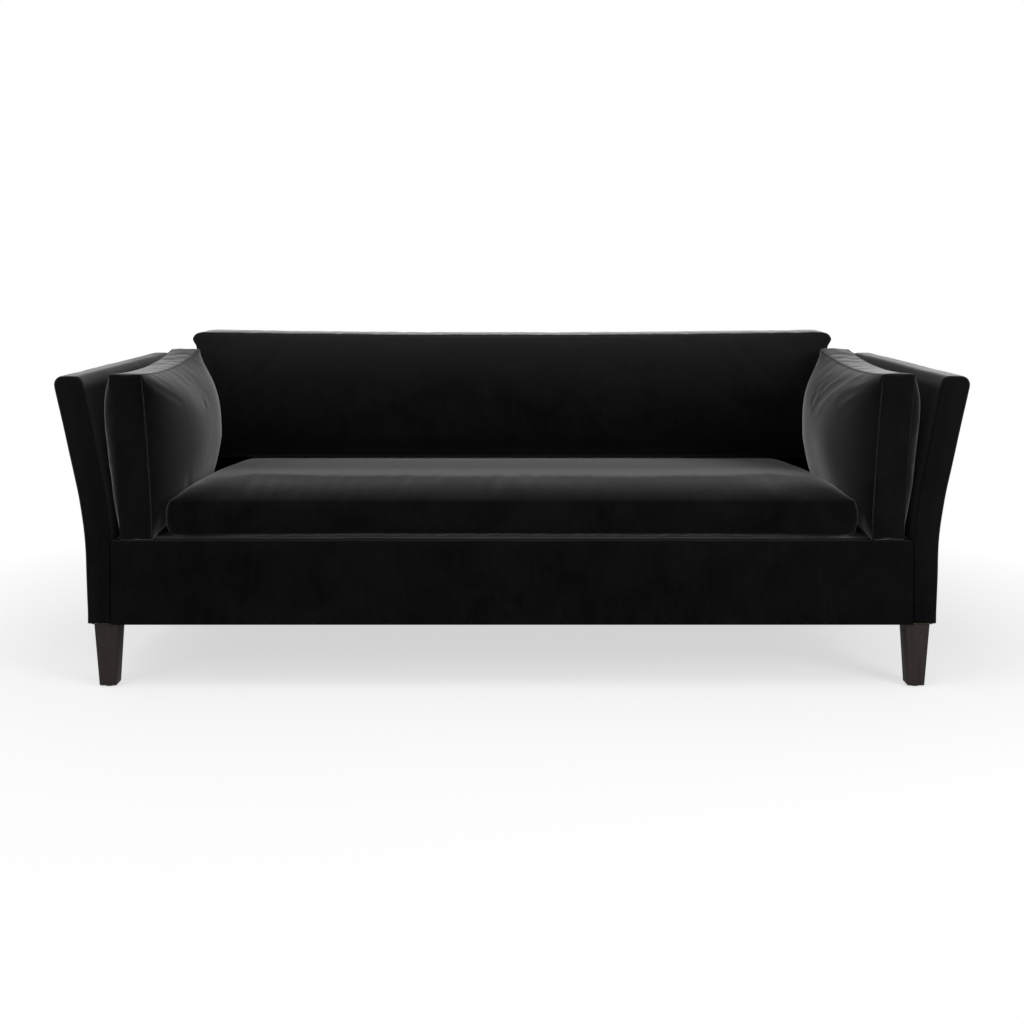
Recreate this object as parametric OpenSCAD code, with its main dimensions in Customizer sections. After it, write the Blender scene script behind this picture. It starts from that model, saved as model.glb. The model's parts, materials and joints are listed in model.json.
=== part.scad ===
// Tuxedo sofa: flared arms and back at one height, a bench seat cushion, two upright
// arm cushions, one back cushion and four tapered legs. Millimetres, +Z up, front at -Y.
// The origin is on the floor, midway across the width and the depth.

/* [Body] */
// Width across the outside of the arms at the foot of the upholstery
base_w = 2024; // [1800:2:2300]
// Depth from the front of the arms to the rear edge of the back
overall_d = 890; // [850:2:950]
// Height of the arms and the back above the floor
arm_h = 747; // [710:1:790]
// Height of the foot of the upholstery above the floor
foot_h = 155; // [125:1:170]
// Height of the seat deck above the floor
deck_h = 353; // [335:1:360]

/* [Flare] */
// Lean of the arms and back below the bend, in degrees
lower_lean = 1.7; // [0.5:0.1:3]
// Lean of the arms and back above the bend, in degrees
upper_lean = 12.8; // [8:0.1:15]
// Radius of the bend
bend_r = 950; // [800:5:1100]
// Height at which the bend starts
bend_z = 306; // [290:1:310]

/* [Walls] */
// Thickness of the arms and back at the foot
wall_foot_t = 56; // [52:1:64]
// Thickness of the arms and back at the top edge
wall_top_t = 70; // [66:1:80]
// Thickness of the wadding and velvet on the frame
pad_t = 9; // [6:0.5:10]
// Thickness of the boards that line the arms and back
board_t = 4; // [3:0.5:5]
// Radius of the outer top edges
top_edge_r = 26; // [20:1:30]
// Radius of the inner top edges
inner_edge_r = 12; // [10:1:16]
// Radius of the front edges of the arm tops
front_edge_r = 10; // [10:1:14]

/* [Wood frame] */
// Depth of the posts, front to back
post_d = 60; // [58:1:70]
// Height of the rails along the top of the arms and back
top_rail_h = 64; // [45:1:80]
// Thickness of the front and rear seat rails
rail_t = 32; // [25:1:38]
// Depth of the springs, pad and cover above the seat rails
deck_build = 30; // [29:0.5:34]
// Width of the uprights in the back
upright_w = 55; // [40:1:70]
// Width of the stretchers under the springs
stretcher_w = 28; // [22:1:40]
// Height of the stretchers
stretcher_h = 80; // [60:1:95]
// Distance of the stretchers from the middle
stretcher_x = 340; // [250:5:450]
// Length of a corner block along each rail
block_leg = 110; // [90:1:130]
// Height of a corner block
block_h = 60; // [45:1:80]
// Diameter of the frame screws
screw_d = 5; // [4:0.5:6]
// Length of the frame screws
screw_l = 70; // [60:1:80]

/* [Legs] */
// Width of a leg at its top
leg_top_w = 58; // [54:1:70]
// Distance of the leg tops inside the edge of the base
leg_inset = 13; // [10:1:22]
// Taper of a leg's outward sides
leg_out_taper = 10; // [8:1:22]
// Taper of a leg's inward sides
leg_in_taper = 7; // [0:1:10]
// Diameter of a glide
glide_d = 26; // [20:1:32]
// Thickness of a glide
glide_t = 3; // [2:0.5:5]
// Size of a leg plate
plate_w = 54; // [46:1:54]
// Thickness of a leg plate
plate_t = 2.5; // [2:0.5:4]
// Diameter of the hanger bolts
bolt_d = 8; // [6:1:10]
// Length of bolt in the leg
bolt_in_leg = 32; // [24:1:40]
// Length of bolt above the leg plate
bolt_in_post = 24; // [16:1:30]

/* [Springs] */
// Number of sinuous springs
spring_count = 12; // [8:2:12]
// Number of bars in each spring
spring_bars = 21; // [17:2:25]
// Diameter of the spring wire
wire_d = 3.8; // [3:0.2:4.6]
// Width of a spring over its loops
spring_w = 56; // [54:1:64]
// Rise of the springs between the rails
spring_rise = 6; // [3:0.5:8]
// Width of a spring clip
clip_w = 14; // [10:1:16]
// Thickness of a spring clip
clip_t = 1.5; // [1:0.1:2]
// Diameter of the tie wires
tie_d = 2.6; // [2:0.2:3.2]

/* [Seat cushion] */
// Height of the seat cushion's boxing between its seams
seat_boxing = 78; // [65:1:90]
// Height of its lower seam above the deck
seat_seam_h = 16; // [12:1:20]
// Rise of its top over the upper seam
seat_crown = 50; // [35:1:60]
// Corner radius in plan
seat_corner_r = 34; // [20:1:50]
// Gap between the seat cushion and the foot of each arm cushion
seat_side_gap = 35; // [25:1:45]

/* [Arm cushions] */
// Thickness of an arm cushion between its seams
arm_pad_t = 77; // [65:1:85]
// Height of an arm cushion
arm_pad_h = 392; // [370:1:410]
// Swell of its inner face
arm_pad_crown = 102; // [80:1:106]
// Swell of its outer face
arm_pad_back_crown = 40; // [24:1:44]
// Outward lean of an arm cushion, in degrees
arm_pad_lean = 3.9; // [3:0.1:5]
// Gap between the arm and the foot of its cushion
arm_pad_gap = 21.5; // [18:0.5:26]
// Lift of its rear top corner
corner_lift = 27; // [15:1:34]
// Gap between its rear end and the back
arm_pad_back_gap = 203; // [190:1:240]

/* [Back cushion] */
// Height of the back cushion
back_pad_h = 341; // [320:1:360]
// Thickness between its seams at mid height
back_pad_t = 165; // [145:1:175]
// Swell of its front face
back_pad_crown = 72; // [55:1:80]
// Swell of its rear face
back_pad_rear_crown = 52; // [40:1:56]
// Corner radius of its outline
back_pad_corner_r = 40; // [28:1:60]
// Reach of its ends past the inner seams of the arm cushions
back_pad_over = 52; // [30:1:56]
// Distance of its rear seam from the back, at the foot
foot_gap = 41; // [36:1:50]
// Distance of its rear seam from the back, at the height of the arms
head_gap = 76; // [66:1:84]

/* [Cushion fillings] */
// Distance of the foam blocks inside the seams
foam_inset = 45; // [35:1:60]
// Thickness of the fibre over the foam blocks
fibre_t = 12; // [9:1:16]

/* [Hidden] */

velvet = "#1c1b1e";
wood = "#3a2c27";
timber = "#c9a97a";
steel = "#8d9093";
foam = "#e6dcb8";
cloth = "#26262a";
nylon = "#17171a";

// clearances: between pieces of the frame, round a soft piece, round a fastener
fit = 0.3;
soft_fit = 0.5;
bore_fit = 0.2;
// cuts run past the faces that they open by this much
over = 1;
sheet_t = 1;

bend_steps = 8;
fillet_steps = 6;

// the flare: how far the outer face has moved outwards at height z
bend_top_z = bend_z + bend_r * (sin(upper_lean) - sin(lower_lean));
function lean_at(z) = asin(sin(lower_lean) + (z - bend_z) / bend_r);
function bend_out(z) = bend_r * (cos(lower_lean) - cos(lean_at(z)));
function flare(z) =
    z <= bend_z ? (z - foot_h) * tan(lower_lean)
    : z <= bend_top_z ? (bend_z - foot_h) * tan(lower_lean) + bend_out(z)
    : (bend_z - foot_h) * tan(lower_lean) + bend_out(bend_top_z) + (z - bend_top_z) * tan(upper_lean);

// heights at which a flared face between z0 and z1 turns
function turns(z0, z1) = let (arc = [for (i = [0:bend_steps])
        bend_z + bend_r * (sin(lower_lean + (upper_lean - lower_lean) * i / bend_steps) - sin(lower_lean))])
    concat([z0], [for (z = arc) if (z > z0 + over && z < z1 - over) z], [z1]);
function reversed(list) = [for (i = [len(list) - 1:-1:0]) list[i]];
function mix(a, b, t) = a + (b - a) * t;
function clamped(v, low, high) = max(low, min(high, v));

base_x = base_w / 2;
front_y = -overall_d / 2;
edge_reach = flare(arm_h - top_edge_r) + top_edge_r - top_edge_r / cos(upper_lean);
rear_foot_y = overall_d / 2 - edge_reach;
well_x = base_x - wall_foot_t;
deck_wall_t = wall_foot_t + flare(deck_h);
well_y = rear_foot_y + flare(deck_h) - deck_wall_t;

function wall_t(z) = z < deck_h ? wall_foot_t + flare(z)
    : mix(deck_wall_t, wall_top_t, (z - deck_h) / (arm_h - deck_h));
function outer_x(z) = base_x + flare(z);
function inner_x(z) = outer_x(z) - wall_t(z);
function rear_y(z) = rear_foot_y + flare(z);
function back_y(z) = rear_y(z) - wall_t(z);

function outer_line(inset, z0, z1) = [for (z = turns(z0, z1)) [outer_x(z) - inset, z]];
function inner_line(inset, z0, z1) = [for (z = turns(z0, z1)) [inner_x(z) + inset, z]];
function rear_line(inset, z0, z1) = [for (z = turns(z0, z1)) [rear_y(z) - inset, z]];
function back_line(inset, z0, z1) = [for (z = turns(z0, z1)) [back_y(z) + inset, z]];

// an arc of radius r in place of the corner at b, between a and c
function unit(v) = v / norm(v);
function fillet(a, b, c, r) = r <= 0 ? [b] : let (
        u = unit(a - b), v = unit(c - b), half = acos(clamped(u * v, -1, 1)) / 2,
        centre = b + unit(u + v) * r / sin(half),
        p = b + u * r / tan(half) - centre, q = b + v * r / tan(half) - centre,
        turn = atan2(p.x * q.y - p.y * q.x, p * q))
    [for (i = [0:fillet_steps]) let (t = turn * i / fillet_steps)
        centre + [p.x * cos(t) - p.y * sin(t), p.x * sin(t) + p.y * cos(t)]];

// the section of an arm or of the back: outer face, top edge with both corners round, inner face
function wall_section(outer, inner, inset) = let (
        o = outer[len(outer) - 1], i = inner[len(inner) - 1],
        o1 = outer[len(outer) - 2], i1 = inner[len(inner) - 2])
    concat([for (k = [0:len(outer) - 2]) outer[k]],
        fillet(o1, o, i, max(0, top_edge_r - inset)),
        fillet(o, i, i1, max(0, inner_edge_r - inset)),
        reversed([for (k = [0:len(inner) - 2]) inner[k]]));

// the side view that cuts an arm piece to length: straight front, flared rear
function side_view(front_in, rear_in, z0, z1) = let (
        rear = rear_line(rear_in, z0, z1), top = rear[len(rear) - 1],
        front_top = [front_y + front_in, z1])
    concat([[front_y + front_in, z0]], [for (k = [0:len(rear) - 2]) rear[k]],
        fillet(rear[len(rear) - 2], top, front_top, max(0, top_edge_r - rear_in)),
        fillet(top, front_top, [front_y + front_in, z0], max(0, front_edge_r - front_in)));

module run_y(y0, y1) {
    translate([0, y1, 0]) rotate([90, 0, 0]) linear_extrude(y1 - y0) children();
}

module run_x(x0, x1) {
    translate([x0, 0, 0]) rotate([90, 0, 90]) linear_extrude(x1 - x0) children();
}

module box(x, y, z) {
    translate([x[0], y[0], z[0]]) cube([x[1] - x[0], y[1] - y[0], z[1] - z[0]]);
}

// a piece of the right arm: its section in width and height, cut by its side view
module arm_piece(section, view) {
    intersection() {
        run_y(front_y - over, overall_d / 2 + over) polygon(section);
        run_x(well_x - wall_top_t, outer_x(arm_h) + over) polygon(view);
    }
}

// a piece of the back: its section in depth and height, cut to the width between the arms
module back_piece(section, gap) {
    intersection() {
        run_x(-outer_x(arm_h), outer_x(arm_h)) polygon(section);
        run_y(-overall_d, overall_d) polygon(between_arms(gap));
    }
}

function between_arms(gap) = let (side = inner_line(-gap, foot_h - over, arm_h + over))
    concat(side, reversed([for (p = side) [-p.x, p.y]]));

// Legs
leg_x = base_x - leg_inset - leg_top_w / 2;
leg_front_y = front_y + leg_inset + leg_top_w / 2;
leg_rear_y = rear_foot_y - leg_inset - leg_top_w / 2;
leg_top_z = foot_h - plate_t;
bolt_r = bolt_d / 2;

// one leg about its own top centre, outward sides at +x and +y
module leg() {
    h = leg_top_w / 2;
    top = leg_top_z;
    foot_out = h - leg_out_taper;
    foot_in = h - leg_in_taper;
    difference() {
        polyhedron(
            points = [[-foot_in, -foot_in, glide_t], [foot_out, -foot_in, glide_t],
                [foot_out, foot_out, glide_t], [-foot_in, foot_out, glide_t],
                [-h, -h, top], [h, -h, top], [h, h, top], [-h, h, top]],
            faces = [[0, 1, 2, 3], [7, 6, 5, 4], [0, 4, 5, 1], [1, 5, 6, 2], [2, 6, 7, 3], [3, 7, 4, 0]]);
        translate([0, 0, top - bolt_in_leg])
            cylinder(r = bolt_r + bore_fit, h = bolt_in_leg + over, $fn = 24);
    }
}

// side 1 is the right, end 1 is the rear
function leg_y(end) = end > 0 ? leg_rear_y : leg_front_y;

module each_leg() {
    for (side = [-1, 1], end = [-1, 1]) translate([side * leg_x, leg_y(end), 0]) children();
}

module flipped(on, axis) {
    if (on) mirror(axis) children();
    else children();
}

module placed_leg(side, end) {
    color(wood) translate([side * leg_x, leg_y(end), 0])
        flipped(side < 0, [1, 0, 0]) flipped(end < 0, [0, 1, 0]) leg();
}

module leg_front_left() placed_leg(-1, -1);
module leg_front_right() placed_leg(1, -1);
module leg_rear_left() placed_leg(-1, 1);
module leg_rear_right() placed_leg(1, 1);

module leg_glides() {
    shift = (leg_in_taper - leg_out_taper) / 2;
    color(nylon) for (side = [-1, 1], end = [-1, 1])
        translate([side * (leg_x + shift), leg_y(end) + end * shift, 0])
            cylinder(d = glide_d, h = glide_t, $fn = 32);
}

module leg_plates() {
    color(steel) each_leg() difference() {
        translate([-plate_w / 2, -plate_w / 2, leg_top_z]) cube([plate_w, plate_w, plate_t]);
        translate([0, 0, leg_top_z - over]) cylinder(r = bolt_r + bore_fit, h = plate_t + 2 * over, $fn = 24);
    }
}

module hanger_bolts() {
    color(steel) each_leg() translate([0, 0, leg_top_z - bolt_in_leg + fit])
        cylinder(r = bolt_r, h = bolt_in_leg + plate_t + bolt_in_post - 2 * fit, $fn = 24);
}

module bolt_bores() {
    each_leg() translate([0, 0, foot_h - over])
        cylinder(r = bolt_r + bore_fit, h = bolt_in_post + over, $fn = 24);
}

// Seat box
rail_top_z = deck_h - deck_build;
layer = pad_t + board_t + 2 * fit;
front_rail_y = front_y + pad_t + fit;
front_face_y = front_rail_y + rail_t;
rear_rail_y = rear_foot_y - layer;
rear_face_y = rear_rail_y - rail_t;
post_end_y = front_y + pad_t + post_d;
screw_r = screw_d / 2;
grip_share = 0.65;
head_share = 0.6;
rail_screw_share = 0.35;
low_share = 0.3;
high_share = 0.72;
screw_grip = rail_t * grip_share;
head_h = screw_d * head_share;
screw_out = 3 * screw_d;

// the face of the front or rear rail that a corner block sits on
function block_face_y(end) = end > 0 ? rear_face_y - fit : front_face_y + fit;
function side_screw_y(end) = end > 0 ? rear_foot_y - pad_t - post_d - screw_out : post_end_y + screw_out;

// every corner screw: z = 0 on the rail's face, the head towards +z
module each_screw() {
    for (side = [-1, 1], end = [-1, 1]) {
        rail_screw_x = well_x - block_leg * rail_screw_share;
        translate([side * rail_screw_x, block_face_y(end), foot_h + block_h * low_share])
            rotate([end * 90, 0, 0]) children();
        translate([side * well_x, side_screw_y(end), foot_h + block_h * high_share])
            rotate([0, -side * 90, 0]) children();
    }
}

module corner_screws() {
    color(steel) each_screw() {
        translate([0, 0, -screw_grip]) cylinder(r = screw_r, h = screw_l - head_h, $fn = 16);
        translate([0, 0, screw_l - screw_grip - head_h]) cylinder(r = screw_d, h = head_h, $fn = 24);
    }
}

module screw_bores() {
    each_screw() {
        translate([0, 0, -screw_grip - bore_fit])
            cylinder(r = screw_r + bore_fit, h = screw_l + over, $fn = 16);
        translate([0, 0, screw_l - screw_grip - head_h - bore_fit])
            cylinder(r = screw_d + bore_fit, h = block_leg, $fn = 24);
    }
}

module corner_blocks() {
    side_x = well_x - fit;
    color(timber) difference() {
        for (side = [-1, 1], end = [-1, 1]) {
            y = block_face_y(end);
            translate([0, 0, foot_h]) linear_extrude(block_h)
                polygon([[side * side_x, y], [side * (side_x - block_leg), y],
                    [side * side_x, y - end * block_leg]]);
        }
        screw_bores();
    }
}

module front_rail() {
    color(timber) difference() {
        box([-well_x + fit, well_x - fit], [front_rail_y, front_face_y], [foot_h, rail_top_z]);
        screw_bores();
    }
}

module rear_rail() {
    color(timber) difference() {
        box([-well_x + fit, well_x - fit], [rear_face_y, rear_rail_y], [foot_h, rail_top_z]);
        screw_bores();
    }
}

module side_rail() {
    top = rail_top_z;
    color(timber) difference() {
        arm_piece(concat(outer_line(layer, foot_h, top), [[well_x, top], [well_x, foot_h]]),
            concat([[post_end_y + fit, foot_h]], rear_line(pad_t + post_d + fit, foot_h, top),
                [[post_end_y + fit, top]]));
        screw_bores();
    }
}

module side_rail_right() side_rail();
module side_rail_left() mirror([1, 0, 0]) side_rail();

module seat_stretchers() {
    color(timber) for (side = [-1, 1])
        box([side * stretcher_x - stretcher_w / 2, side * stretcher_x + stretcher_w / 2],
            [front_face_y + fit, rear_face_y - fit], [foot_h, foot_h + stretcher_h]);
}

// Springs
wire_r = wire_d / 2;
clip_in = wire_r + fit;
spring_y0 = front_face_y - clip_in - 2 * clip_t;
spring_y1 = rear_face_y + clip_in + 2 * clip_t;
wire_z = rail_top_z + clip_t + clip_in;
spring_pitch = (spring_y1 - spring_y0) / (spring_bars - 1);
loop_steps = 3;
tie_share = 1 / 3;
spring_gap = 2 * well_x / spring_count;
spring_top_z = wire_z + wire_r + spring_rise;
// the covers and boards inside the well reach down to the springs
tuck_z = spring_top_z + fit;

function spring_x(i) = -well_x + (i + 0.5) * spring_gap;
function spring_z(y) = wire_z + spring_rise * sin(180 * (y - spring_y0) / (spring_y1 - spring_y0));

// the middle line of one spring: bars across, joined by half-circle loops
function spring_path() = let (c = spring_pitch / 2, reach = spring_w / 2 - wire_r - c)
    concat([[-reach, spring_y0, wire_z]],
        [for (k = [0:spring_bars - 2], i = [0:loop_steps])
            let (s = k % 2 == 0 ? 1 : -1, a = -90 + 180 * i / loop_steps,
                y = spring_y0 + k * spring_pitch + c + c * sin(a))
            [s * (reach + c * cos(a)), y, spring_z(y)]],
        [[(spring_bars % 2 == 0 ? 1 : -1) * -reach, spring_y1, wire_z]]);

// a wire of four sides swept along a path
module wire(path, r) {
    n = len(path);
    sides = 4;
    points = [for (i = [0:n - 1])
        let (t = unit(path[min(i + 1, n - 1)] - path[max(i - 1, 0)]),
            across = unit(cross(t, [0, 0, 1])), up = cross(across, t))
        for (k = [0:sides - 1]) path[i] + r * (cos(45 + 90 * k) * across + sin(45 + 90 * k) * up)];
    faces = concat([[for (k = [0:sides - 1]) k]], [[for (k = [sides - 1:-1:0]) (n - 1) * sides + k]],
        [for (i = [0:n - 2], k = [0:sides - 1]) let (a = i * sides + k, b = i * sides + (k + 1) % sides)
            each [[a, a + sides, b + sides], [a, b + sides, b]]]);
    polyhedron(points, faces);
}

module seat_springs() {
    color(steel) for (i = [0:spring_count - 1]) translate([spring_x(i), 0, 0]) wire(spring_path(), wire_r);
}

// a clip folded over a spring's end bar, open towards the spring
module clip() {
    translate([-clip_w / 2, 0, 0]) rotate([90, 0, 90]) linear_extrude(clip_w) difference() {
        union() {
            circle(r = clip_in + clip_t, $fn = 32);
            translate([-clip_in - 3 * clip_t, -clip_in - clip_t])
                square([2 * clip_in + 5 * clip_t, clip_t]);
        }
        circle(r = clip_in, $fn = 32);
        translate([0, -clip_in]) square([clip_in + 2 * clip_t, clip_in * 2]);
    }
}

module spring_clips() {
    color(steel) for (i = [0:spring_count - 1]) {
        translate([spring_x(i), spring_y0, wire_z]) clip();
        translate([spring_x(i), spring_y1, wire_z]) mirror([0, 1, 0]) clip();
    }
}

module tie_wires() {
    color(cloth) for (t = [tie_share, 1 - tie_share]) {
        y = mix(spring_y0, spring_y1, t);
        translate([-well_x + fit, y, spring_z(y) - wire_r - tie_d / 2 - fit]) rotate([0, 90, 0])
            cylinder(d = tie_d, h = 2 * (well_x - fit), $fn = 16);
    }
}

// Deck
lip_d = pad_t + rail_t;
roll_share = 1 / 3;

module front_edge_roll() {
    width = rail_t - 2 * clip_in - 6 * clip_t;
    color(foam) run_x(-well_x + fit, well_x - fit) polygon(concat(
        [[front_rail_y, rail_top_z]],
        fillet([front_rail_y, rail_top_z], [front_rail_y, deck_h - pad_t - fit],
            [front_rail_y + width, deck_h - pad_t - fit], width * roll_share),
        [[front_rail_y + width, deck_h - pad_t - fit], [front_rail_y + width, rail_top_z]]));
}

module deck_pad() {
    color(foam) box([-well_x + fit, well_x - fit], [front_y + lip_d + fit, well_y - fit],
        [spring_top_z + fit, deck_h - sheet_t - fit]);
}

module deck_cover() {
    color(cloth) box([-well_x + fit, well_x - fit], [front_y + lip_d + fit, well_y - fit],
        [deck_h - sheet_t, deck_h]);
}

module front_rail_cover() {
    color(velvet) run_x(-well_x + fit, well_x - fit) polygon(concat(
        [[front_y, foot_h]],
        fillet([front_y, foot_h], [front_y, deck_h], [front_y + lip_d, deck_h], front_edge_r),
        [[front_y + lip_d, deck_h], [front_y + lip_d, deck_h - pad_t], [front_y + pad_t, deck_h - pad_t],
            [front_y + pad_t, foot_h]]));
}

module dust_cover() {
    hole = leg_top_w / 2 + fit;
    color(cloth) difference() {
        box([-base_x + pad_t, base_x - pad_t], [front_y + pad_t, rear_foot_y - pad_t],
            [foot_h - sheet_t, foot_h]);
        each_leg() box([-hole, hole], [-hole, hole], [foot_h - sheet_t - over, foot_h + over]);
    }
}

// Arms
top_z = arm_h - pad_t - fit;
rail_foot_z = top_z - top_rail_h;
// the boards end where the round of the top edge begins
board_top_z = arm_h - pad_t - (top_edge_r - pad_t) / tan((90 - upper_lean) / 2) - fit;

function post_section() = concat(
    wall_section(outer_line(layer, foot_h, top_z), inner_line(layer, tuck_z - fit, top_z), pad_t),
    [[well_x, tuck_z - fit], [well_x, foot_h]]);

module front_post() {
    color(timber) difference() {
        arm_piece(post_section(), [[front_rail_y, foot_h], [post_end_y, foot_h],
            [post_end_y, top_z], [front_rail_y, top_z]]);
        bolt_bores();
    }
}

module rear_post() {
    color(timber) difference() {
        arm_piece(post_section(), wall_section(rear_line(pad_t + fit, foot_h, top_z),
            rear_line(pad_t + post_d, foot_h, top_z), pad_t));
        bolt_bores();
    }
}

module arm_top_rail() {
    color(timber) arm_piece(
        wall_section(outer_line(layer, rail_foot_z, top_z), inner_line(layer, rail_foot_z, top_z), pad_t),
        concat([[post_end_y + fit, rail_foot_z]], rear_line(pad_t + post_d + fit, rail_foot_z, top_z),
            [[post_end_y + fit, top_z]]));
}

// a board bent to the flare, between two insets from a face
function board_section(near, far) = concat(near, reversed(far));

module arm_boards() {
    view = side_view(pad_t + fit, pad_t + fit, foot_h, top_z);
    color(timber) {
        arm_piece(board_section(outer_line(pad_t + fit, foot_h, board_top_z),
            outer_line(pad_t + fit + board_t, foot_h, board_top_z)), view);
        arm_piece(board_section(inner_line(pad_t + fit, tuck_z, board_top_z),
            inner_line(pad_t + fit + board_t, tuck_z, board_top_z)), view);
    }
}

module arm_cover() {
    below = foot_h - over;
    inside = arm_h - pad_t;
    color(velvet) difference() {
        arm_piece(wall_section(outer_line(0, foot_h, arm_h), inner_line(0, foot_h, arm_h), 0),
            side_view(0, 0, foot_h, arm_h));
        arm_piece(wall_section(outer_line(pad_t, below, inside), inner_line(pad_t, below, inside), pad_t),
            side_view(pad_t, pad_t, below, inside));
        arm_piece([[well_x - over, below], [well_x + 2 * pad_t, below],
            [well_x + 2 * pad_t, tuck_z], [well_x - over, tuck_z]],
            concat([[front_y + pad_t, below]], rear_line(pad_t, below, tuck_z), [[front_y + pad_t, tuck_z]]));
    }
}

module front_post_right() front_post();
module front_post_left() mirror([1, 0, 0]) front_post();
module rear_post_right() rear_post();
module rear_post_left() mirror([1, 0, 0]) rear_post();
module arm_top_rail_right() arm_top_rail();
module arm_top_rail_left() mirror([1, 0, 0]) arm_top_rail();
module arm_boards_right() arm_boards();
module arm_boards_left() mirror([1, 0, 0]) arm_boards();
module arm_cover_right() arm_cover();
module arm_cover_left() mirror([1, 0, 0]) arm_cover();

// Back
upright_share = 1 / 3;
// the cover's rear sheet is folded to this thickness at its foot
hem_t = pad_t / 2;

module back_uprights() {
    section = board_section(rear_line(layer, rail_top_z, rail_foot_z - fit),
        back_line(layer, rail_top_z, rail_foot_z - fit));
    // each upright stands between two springs
    bays = round(spring_count * upright_share);
    color(timber) for (x = [-bays, 0, bays] * spring_gap)
        run_x(x - upright_w / 2, x + upright_w / 2) polygon(section);
}

module back_top_rail() {
    color(timber) back_piece(wall_section(rear_line(layer, rail_foot_z, top_z),
        back_line(layer, rail_foot_z, top_z), pad_t), fit);
}

module back_front_board() {
    color(timber) back_piece(board_section(back_line(pad_t + fit, tuck_z, board_top_z),
        back_line(pad_t + fit + board_t, tuck_z, board_top_z)), fit);
}

module back_rear_board() {
    color(timber) back_piece(board_section(rear_line(pad_t + fit, foot_h, board_top_z),
        rear_line(pad_t + fit + board_t, foot_h, board_top_z)), fit);
}

module back_cover() {
    inner_y = rear_foot_y - pad_t - hem_t;
    color(velvet) difference() {
        back_piece(concat(
            wall_section(rear_line(0, foot_h, arm_h), back_line(0, tuck_z, arm_h), 0),
            [[inner_y, tuck_z], [inner_y, foot_h]]), fit);
        run_x(-base_w, base_w) polygon(wall_section(rear_line(pad_t, foot_h - over, arm_h - pad_t),
            back_line(pad_t, foot_h - over, arm_h - pad_t), pad_t));
    }
}

// Cushions: rings of points from the middle of one face, over the boxing, to the other face
corner_steps = 3;
long_steps = 11;
short_steps = 6;
ring_shares = [0.2, 0.45, 0.66, 0.82, 0.93, 1];
swell_power = 0.8;
round_share = 0.55;
full_round_share = 0.9;
boxing_swell = 3;

// how full a face is at a point, from 0 at its seams to 1: the higher an edge, the flatter the face
function fullness(p, size, edges) =
    pow(max(0, (1 - pow(abs(p.x) / size.x, edges.x)) * (1 - pow(abs(p.y) / size.y, edges.y))), swell_power);

// a rectangle with round corners whose sides are drawn in by pull at their middles
function outline(hu, hv, r, pull) = let (
        turn_at = function(k) let (su = k % 4 == 0 || k % 4 == 3 ? 1 : -1, sv = k % 4 < 2 ? 1 : -1)
            [for (i = [0:corner_steps]) let (a = 90 * k + 90 * i / corner_steps)
                [su * (hu - r) + r * cos(a), sv * (hv - r) + r * sin(a)]],
        square_one = [for (k = [0:3]) let (arc = turn_at(k), next = turn_at(k + 1),
                n = k % 2 == 0 ? long_steps : short_steps)
            each concat(arc, [for (i = [1:n - 1]) mix(arc[corner_steps], next[0], i / n)])])
    [for (p = square_one) [p.x * (1 - pull / hu * (1 - pow(p.y / hv, 2))),
        p.y * (1 - pull / hv * (1 - pow(p.x / hu, 2)))]];

// one ring: the outline drawn towards the crest of the face, its corners rounder on the way
function ring(size, r, pull, s, w, swell, edges) = let (
        hu = mix(size.x * size.z, size.x, s), hv = size.y * s)
    [for (p = outline(hu, hv, min(r + (1 - s) * size.y * round_share, hv * full_round_share), pull * s))
        [p.x, p.y, w + (s < 1 ? swell * fullness(p, size, edges) : 0)]];

// size holds the half length, the half width and the crest's share of the length;
// low and high are the swell of the two faces past the seams at w0 and w1, each with its edges
function cushion_rings(size, r, pull, w0, w1, low, high, low_edges, high_edges) =
    concat([for (s = ring_shares) ring(size, r, pull, s, w0, -low, low_edges)],
        [ring(size + boxing_swell * [1, 1, 0], r, pull, 1, (w0 + w1) / 2, 0, high_edges)],
        [for (s = reversed(ring_shares)) ring(size, r, pull, s, w1, high, high_edges)]);

module skin(rings, low_pole, high_pole) {
    m = len(rings);
    n = len(rings[0]);
    last = m * n + 1;
    polyhedron(
        points = concat([low_pole], [for (r = rings) each r], [high_pole]),
        faces = concat(
            [for (i = [0:n - 1]) [0, 1 + i, 1 + (i + 1) % n]],
            [for (k = [0:m - 2], i = [0:n - 1])
                let (a = 1 + k * n + i, b = 1 + k * n + (i + 1) % n) each [[a, a + n, b + n], [a, b + n, b]]],
            [for (i = [0:n - 1]) [last, 1 + (m - 1) * n + (i + 1) % n, 1 + (m - 1) * n + i]]));
}

// Arm cushions: u to the rear, v up, w outwards
arm_pad_d = well_y - front_y - arm_pad_back_gap;
arm_pad_x = well_x - arm_pad_gap - arm_pad_t / 2;
arm_pad_corner_share = 0.34;
arm_pad_pull = 10;
arm_pad_crest_share = 0.15;
rest_share = 0.45;
arm_pad_inner_edges = [3.5, 3];
arm_pad_outer_edges = [14, 3];
belly_foot_share = 0.58;
belly_near_share = 0.35;
belly_front_share = 0.6;
outer_low_share = 0.45;
outer_rear_share = 0.7;

// the inner face swells most past its middle; it is slimmer at the foot, beside the seat cushion,
// and at the front
function belly(d, h) = (1 - belly_foot_share * max(0, 1 - 2 * h))
    * (1 - belly_near_share * pow(1 - clamped(d / belly_front_share, 0, 1), 2));

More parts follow.
